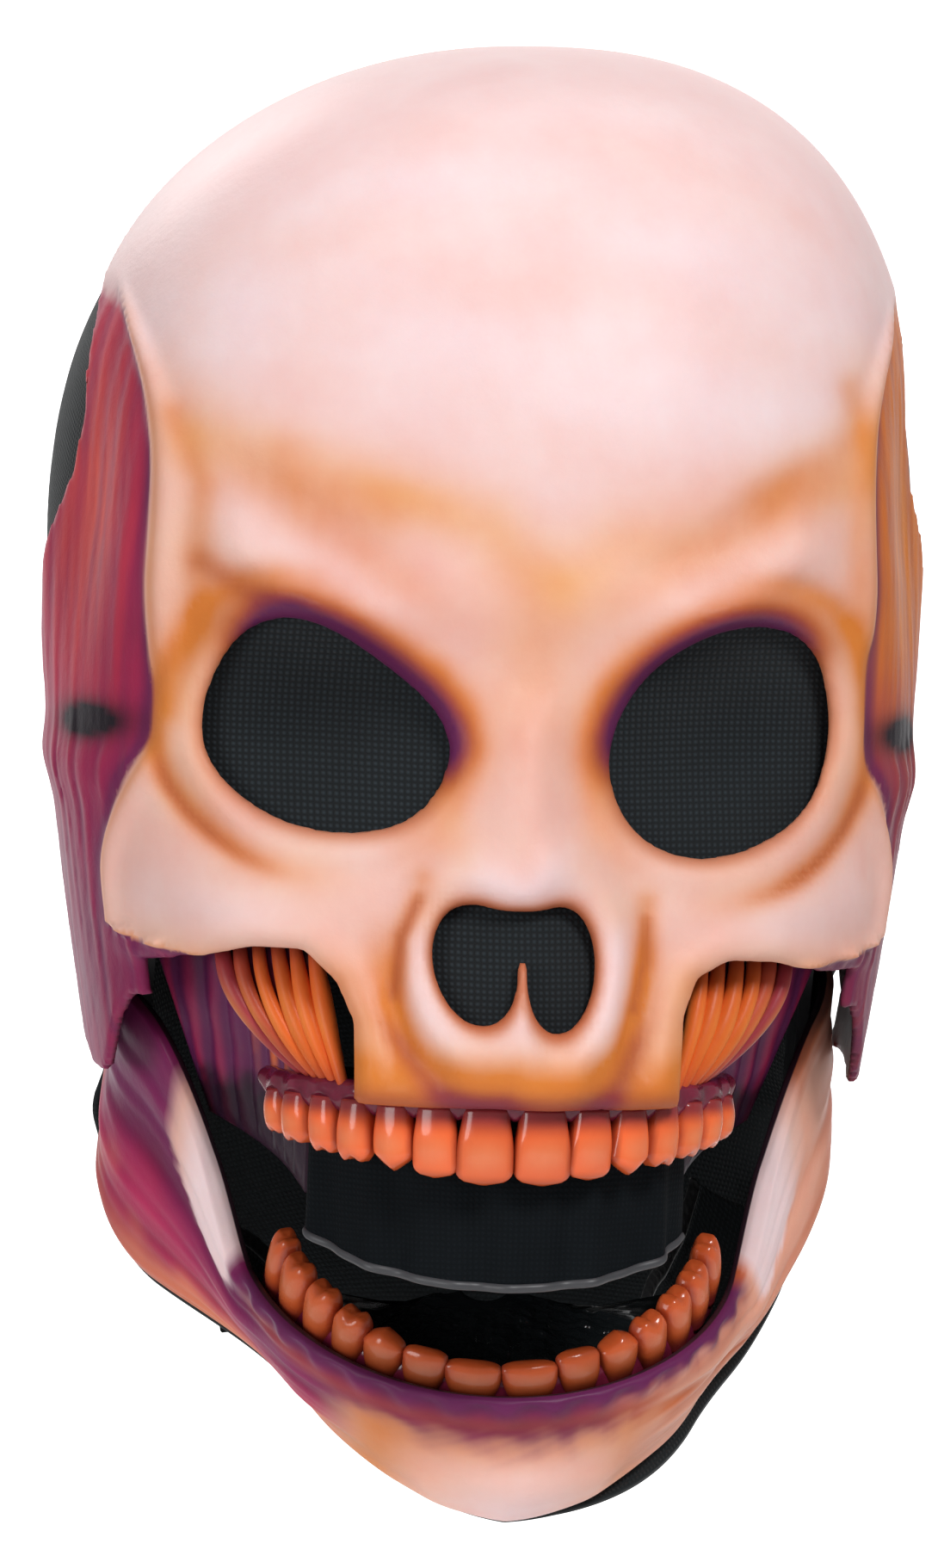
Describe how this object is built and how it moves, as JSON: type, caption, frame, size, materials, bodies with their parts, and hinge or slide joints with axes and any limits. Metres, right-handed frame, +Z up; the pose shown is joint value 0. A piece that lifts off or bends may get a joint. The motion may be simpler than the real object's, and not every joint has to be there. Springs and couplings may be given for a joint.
{
  "type": "skull mask",
  "caption": "Latex skull mask that covers the head: hinged lower jaw, black mesh behind the eyes, nose and mouth, cloth hood and an elastic head strap",
  "frame": {"origin": "middle of the wearer's head at eye level", "axes": "+Z up, the face looks along -Y, +X is towards the wearer's left ear"},
  "size_m": [0.1868, 0.21, 0.3088],
  "materials": {
    "skull_latex": "air-brushed latex: pale bone, orange shading, flesh-red temples",
    "jaw_latex": "air-brushed latex: pale bone and chin, red and purple flesh",
    "tooth_paint": "orange-brown paint under gloss varnish",
    "web_latex": "thin latex painted dark red and purple, orange muscle strands",
    "gloss_black": "gloss black latex lining",
    "scrim": "black open-weave mesh",
    "foam": "open-cell foam with a brushed cloth face",
    "hood_cloth": "black stretch knit",
    "binding_tape": "black woven tape",
    "hook_loop": "black hook-and-loop tape",
    "elastic": "ribbed black elastic",
    "nylon": "moulded black nylon",
    "slider_plastic": "moulded black acetal",
    "washer_plastic": "natural white nylon",
    "steel": "zinc-plated steel"
  },
  "bodies": {
    "skull": {"skull_shell": "skull_latex", "upper_teeth": "tooth_paint", "left_eye_mesh": "scrim", "right_eye_mesh": "scrim", "nose_mesh": "scrim", "mouth_screen": "scrim", "left_cheek_web": "web_latex", "right_cheek_web": "web_latex", "left_hinge_pad": "foam", "right_hinge_pad": "foam", "left_hinge_plate": "nylon", "right_hinge_plate": "nylon", "left_pivot_pin": "steel", "right_pivot_pin": "steel", "left_pivot_washer": "washer_plastic", "right_pivot_washer": "washer_plastic", "forehead_pad": "foam", "crown_pad": "foam", "left_temple_pad": "foam", "right_temple_pad": "foam", "hood_left": "hood_cloth", "hood_right": "hood_cloth", "hood_centre_tape": "binding_tape", "hood_hem": "binding_tape", "closure_loop_strip": "hook_loop", "head_strap": "elastic", "left_strap_tab": "nylon", "right_strap_tab": "nylon", "strap_rivets": "steel"},
    "jaw": {"jaw_shell": "jaw_latex", "lower_teeth": "tooth_paint", "mouth_floor": "gloss_black", "left_jaw_arm": "nylon", "right_jaw_arm": "nylon", "chin_cup": "foam", "throat_panel": "hood_cloth", "throat_binding": "binding_tape"},
    "slider": {"strap_slider": "slider_plastic"},
    "flap": {"closure_flap": "hood_cloth", "closure_hook_strip": "hook_loop"}
  },
  "joints": [
    {"name": "jaw_hinge", "type": "hinge", "parent": "skull", "child": "jaw", "pos_m": [0, -0.005, -0.048], "axis": [1, 0, 0], "range_deg": [-31, 0], "deforming": ["left_cheek_web", "right_cheek_web", "mouth_screen"]},
    {"name": "strap_slide", "type": "slide", "parent": "skull", "child": "slider", "axis": [1, 0, 0], "range_m": [-0.02, 0.02]},
    {"name": "flap_fold", "type": "hinge", "parent": "skull", "child": "flap", "pos_m": [-0.012, 0.09475, -0.046], "axis": [0, 0.2694, 0.963], "range_deg": [0, 110]}
  ]
}
